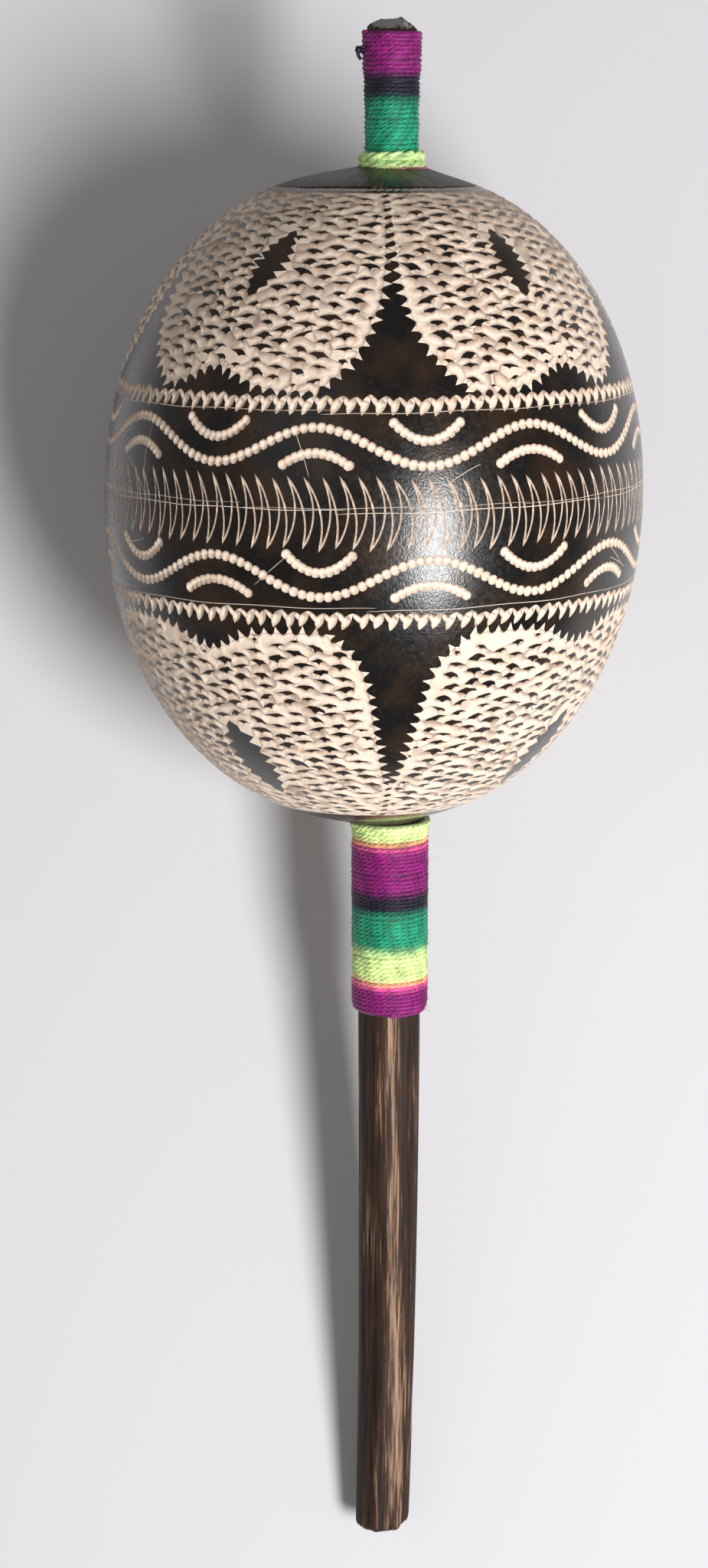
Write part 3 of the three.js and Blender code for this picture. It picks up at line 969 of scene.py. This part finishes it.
# Dyed cotton: matt, with a soft sheen where the fibres stand up, and each ply finely streaked.
thread, tree, shader = new_material("space_dyed_cotton", Roughness=0.55, Sheen_Weight=0.1,
                                    Sheen_Roughness=0.4, Specular_IOR_Level=0.5)
place = add(tree, "TexCoord", {}, "Object")
dye = add(tree, "Attribute", {}, "Color", attribute_name="dye")
lint = add(tree, "TexNoise", {"Vector": place, "Scale": 1 / (0.5 * MM), "Detail": 3})
uneven = add(tree, "TexNoise", {"Vector": place, "Scale": 1 / (3 * MM), "Detail": 2})
both = add(tree, "Math", {0: lint, 1: uneven}, operation="ADD")
value = add(tree, "MapRange", {"Value": both, "From Min": 0.7, "From Max": 1.3, "To Min": 0.62,
                               "To Max": 1.45})
tinted = add(tree, "HueSaturation", {"Color": dye, "Value": value})
nap = add(tree, "Bump", {"Height": lint, "Strength": 0.5, "Distance": 0.15 * MM})
wire(shader, {"Base Color": tinted, "Normal": nap})

lower_low, lower_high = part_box("lower_binding")
LOWER_RADIUS = (lower_high.x - lower_low.x) / 2 - 0.33 * MM


def lower_radius(height):
    """The radius of the thread's middle: level, spread by a square at the gourd, and drawn in by a
    power over the last turns."""
    top = np.clip((height - (lower_high.z - 4 * MM)) / (4 * MM), 0, 1)
    foot = np.clip(1 - (height - lower_low.z) / (3 * MM), 0, 1)
    return LOWER_RADIUS - THREAD / 2 + 0.8 * MM * top**2 - 0.75 * MM * foot**1.5


lower_bands = bands(
    (129, 134.9, PURPLE), (136.0, 136.4, ROSE), (137.0, 137.3, ORANGE), (138.2, 143.4, LIME),
    (145.9, 152.6, GREEN), (154.6, 157.0, NAVY), (158.8, 167.3, PURPLE), (168.3, 168.8, ROSE),
    (169.3, 169.8, ORANGE), (170.8, 175, LIME),
)
binding(
    "lower_winding", "lower_binding", lower_low.z + THREAD / 2, lower_high.z - THREAD / 2,
    lower_radius, ((0.3, 0.5), (0.52, 0.4), (0.74, 0.5), (0.18, 0.4), (0.9, 0.5)), lower_bands, 11,
)

upper_low, upper_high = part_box("upper_binding")
COLLAR_RADIUS = (upper_high.x - upper_low.x) / 2 - WOOL / 2 + 0.3 * MM
DOUBLED_HEIGHT = 8.6 * MM


def upper_radius(height):
    """The radius of the thread's middle: one layer, and a logistic step up to the last turns."""
    doubled = 1 / (1 + np.exp((upper_high.z - DOUBLED_HEIGHT - height) / (0.3 * MM)))
    return np.interp(height, STATIONS, RADII) + 0.45 * MM + 0.35 * MM * doubled


def level_turn(height, radius, from_angle, to_angle, wave):
    """The path of one level turn of yarn between two angles, whose height goes up and down by a
    sine of the angle."""
    angle = np.linspace(from_angle, to_angle, int(radius * abs(to_angle - from_angle) / STEP))
    return about_stick(radius, angle, height + wave * np.sin(angle + 0.6)), angle


upper_bands = bands(
    (318, 318.6, ROSE), (319.2, 319.3, ORANGE), (320.0, 321.4, LIME), (322.0, 331.6, GREEN),
    (334.4, 337.5, NAVY), (339.5, 348, PURPLE),
)
collar = [
    (*level_turn(upper_low.z + rise, COLLAR_RADIUS, -3.3, 3.3, wave), 321.5 * MM, WOOL)
    for rise, wave in ((0.3 * MM, 0.1 * MM), (2.1 * MM, 0.25 * MM))
]
last_path, last_angle = level_turn(
    upper_low.z - 0.4 * MM, COLLAR_RADIUS + 0.95 * MM, -0.5, 2.6, -0.12 * MM
)
last_dye = np.interp(last_angle, [-0.6, 0.2, 0.6, 1.6], np.array([321, 319.2, 318.3, 318]) * MM)

# The knot is a coil of two turns, and the tail leaves it in a loose wave.
t = np.linspace(0, 1, 26)
loop = 2 * TURN * t
knot = np.stack([-6.3 + 0.5 * np.cos(loop), -2 + 0.7 * np.sin(loop), 342.8 + 1.3 * t], -1) * MM
tail = np.stack([
    -6 - 1.1 * np.sin(np.pi * t) - 0.9 * t, -2 + 0.8 * np.sin(TURN * t),
    343.4 + 2.4 * t * np.cos(2.5 * t),
], -1) * MM
knot_angle, knot_dye = np.full(len(t), -1.35), 336 * MM
binding(
    "upper_winding", "upper_binding", upper_low.z + THREAD / 2,
    upper_high.z - THREAD / 2 + 0.3 * MM, upper_radius, ((0.35, 0.5), (0.62, 0.5), (0.8, 0.4)),
    upper_bands, 12,
    [(tail, knot_angle, knot_dye, 0.8 * THREAD), (knot, knot_angle, knot_dye, 0.8 * THREAD),
     *collar, (last_path, last_angle, last_dye, THREAD)],
)


# ---- The seals ----------------------------------------------------------------------------------
# Dark plant resin, melted round the stick where it passes through the gourd's skin. It fills the
# gap, and a thin skirt of it runs out over the skin, smeared outwards with a thumb.

SEAL_SIDES = 160
resin, tree, shader = new_material("smeared_plant_resin", Specular_IOR_Level=0.32, Coat_Weight=0.1,
                                   Coat_Roughness=0.25)
place = add(tree, "TexCoord", {}, "Object")
level = add(tree, "VectorMath", {0: place, 1: (1, 1, 0)}, operation="MULTIPLY")
outwards = add(tree, "VectorMath", {0: level}, operation="NORMALIZE")
outwards = add(tree, "VectorMath", {0: outwards, 1: (14, 14, 0)}, operation="MULTIPLY")
drawn = add(tree, "VectorMath", {0: level, 1: (90, 90, 0), 2: outwards}, operation="MULTIPLY_ADD")
cloudy = add(tree, "TexNoise", {"Vector": drawn, "Scale": 1.5, "Detail": 4})
pale = add(tree, "MapRange", {"Value": cloudy, "From Min": 0.52, "From Max": 0.7})
shade = add(tree, "Mix", {0: pale, 6: "#110c07", 7: "#6b4a33"}, 2, data_type="RGBA")
gleam = add(tree, "MapRange", {"Value": cloudy, "To Min": 0.32, "To Max": 0.65})
lumpy = add(tree, "Bump", {"Height": cloudy, "Strength": 0.5, "Distance": 0.4 * MM})
wire(shader, {"Base Color": shade, "Roughness": gleam, "Normal": lumpy})


def seal(name, node, rim, edge, seed):
    """A ring of resin: a plug down the hole, and a skirt over the skin, from the hole's rim to an
    edge given by its distance along the skin. The skirt is as thick as the cube of the way left
    to its edge, over a thin film that goes as the square root of it, and the film has radial
    ripples, a sum of cosines of the angle."""
    low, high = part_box(node)
    plug = (high.x - low.x) / 2
    top = edge > SKIN_LENGTH / 2
    turn = round_turn(SEAL_SIDES)[None]
    draw = np.random.default_rng(seed)
    ripple = sum(np.cos(k * turn + draw.uniform(0, TURN)) for k in (5, 9, 14, 23, 31, 47)) / 3
    near = rim_places(rim, top, SEAL_SIDES)
    near[:, 0] = np.unwrap(near[:, 0])
    far = np.stack([near[:, 0], edge + 0.25 * MM * ripple[0]], -1)
    way = np.linspace(0, 1, 14)[:, None, None]
    places = near + (far - near) * way
    thick = 0.9 * MM * (1 - way) ** 3 + (0.1 + 0.07 * ripple[..., None]) * MM * (1 - way) ** 0.5
    over, under = on_gourd(places, -thick[..., 0] - 0.015 * MM), on_gourd(places, 0.05 * MM)
    bore = np.interp((low.z + high.z) / 2, STATIONS, RADII) + 0.12 * MM
    end = low.z if top else high.z
    points = np.concatenate([
        about_stick(bore, turn, over[0, :, 2]), over, under[::-1],
        about_stick(plug, turn, under[0, :, 2]), about_stick(plug, turn, end),
        about_stick(bore, turn, end),
    ])
    piece = surface(name, points, resin, closed_rows=True, flip=top)
    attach(piece, "root")
    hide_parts(node)


seal("lower_resin", "lower_seal", LOWER_HOLE, 16 * MM, 21)
seal("upper_resin", "upper_seal", UPPER_HOLE, MIDDLE + 78.8 * MM, 22)


# ---- The seeds ----------------------------------------------------------------------------------
# Hard round seeds of a wild canna: dark, smooth and slightly flattened, each with a shallow dent
# where it hung. They are loose in the gourd, so each one rides its own body.

SEED_SIDES, SEED_ROWS = 24, 14
coat, tree, shader = new_material("hard_seed_coat", Roughness=0.32)
place = add(tree, "TexCoord", {}, "Object")
spots = add(tree, "TexNoise", {"Vector": place, "Scale": 1 / (1.5 * MM), "Detail": 3})
tone = add(tree, "Mix", {0: spots, 6: "#150f0b", 7: "#3a281b"}, 2, data_type="RGBA")
pits = add(tree, "Bump", {"Height": spots, "Strength": 0.3, "Distance": 0.15 * MM})
wire(shader, {"Base Color": tone, "Normal": pits})

latitude = np.linspace(0.04, np.pi - 0.04, SEED_ROWS)[:, None]
turn = round_turn(SEED_SIDES)[None]
ball = np.stack([
    np.sin(latitude) * np.cos(turn), np.sin(latitude) * np.sin(turn), -np.cos(latitude) + 0 * turn,
], -1)
for node in sorted(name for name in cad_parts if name.startswith("seed_")):
    low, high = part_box(node)
    size = (np.array(high) - np.array(low)).min() / 2
    draw = np.random.default_rng(int(node[-2:]))
    axes, _ = np.linalg.qr(draw.normal(size=(3, 3)))
    axes *= np.sign(np.linalg.det(axes))
    stretch = np.array([1.0, 0.97, 0.88]) * draw.uniform(0.96, 1.0)
    dent = 1 - 0.05 * np.exp(-8 * (1 + ball[..., 2:]))
    points = (ball * dent * stretch * size) @ axes + (np.array(low) + np.array(high)) / 2
    seed_piece = surface(node.replace("seed", "canna_seed"), points, coat)
    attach(seed_piece, node)
    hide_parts(node)


# ---- The table, the light and the camera --------------------------------------------------------
# The maraca lies on a white table, seen from straight above: one big soft light to the right and
# a little below, and pale walls all round.

TILT = math.radians(12.6)
AIM = Vector((-8.2, 0, 182)) * MM
AWAY_FROM_EYE = 694 * MM
FOCAL_LENGTH, FILM_WIDTH = 70.5, 36
forward = Vector((0, math.cos(TILT), -math.sin(TILT)))

camera_data = bpy.data.cameras.new("camera")
camera_data.lens = FOCAL_LENGTH
camera_data.sensor_width = FILM_WIDTH
camera_data.sensor_fit = "AUTO"
camera = bpy.data.objects.new("camera", camera_data)
camera.location = AIM - AWAY_FROM_EYE * forward
camera.rotation_euler = (math.radians(90) - TILT, 0, 0)
bpy.context.collection.objects.link(camera)
bpy.context.scene.camera = camera

TABLE_SIZE = 320 * MM
TABLE_DEPTH = 48.4 * MM  # the gourd and the butt of the handle both lie on it
centre = forward * TABLE_DEPTH + Vector((0, 0, 190)) * MM
sideways, upwards = Vector((1, 0, 0)), Vector((0, math.sin(TILT), math.cos(TILT)))
square = [
    centre + TABLE_SIZE * (a * sideways + b * upwards)
    for a, b in ((-1, -1), (1, -1), (1, 1), (-1, 1))
]
table = mesh_object("table", [tuple(corner) for corner in square], [(0, 1, 2, 3)])
# White paper, clear from behind.
paper, tree, shader = new_material("white_paper", Base_Color="#dbdadd", Roughness=0.9)
from_behind = add(tree, "NewGeometry", {}, "Backfacing")
see_through = add(tree, "BsdfTransparent", {})
either = add(tree, "MixShader", {0: from_behind, 1: shader.outputs[0], 2: see_through})
wire(tree.nodes["Material Output"], {"Surface": either})
table.data.materials.append(paper)


def soft_light(name, towards, distance, width, height, power):
    """An area light that lies in a direction from the gourd's middle, and faces it."""
    data = bpy.data.lights.new(name, "AREA")
    data.shape = "ELLIPSE"
    data.size, data.size_y = width, height
    data.energy = power
    light = bpy.data.objects.new(name, data)
    towards = Vector(towards).normalized()
    light.location = Vector(GOURD_CENTRE) + distance * towards
    light.rotation_euler = towards.to_track_quat("Z", "Y").to_euler()
    bpy.context.collection.objects.link(light)


soft_light("main_light", (0.40, -0.87, -0.18), 1.2, 0.34, 0.6, 15.6)
soft_light("fill_light", (-0.5, -0.8, 0.3), 1.6, 1.2, 1.2, 1.2)
world = bpy.data.worlds.new("pale_room")
world.use_nodes = True
wire(world.node_tree.nodes["Background"], {"Color": "#f6f4f3", "Strength": 0.235})
bpy.context.scene.world = world
bpy.context.scene.view_settings.view_transform = "Standard"
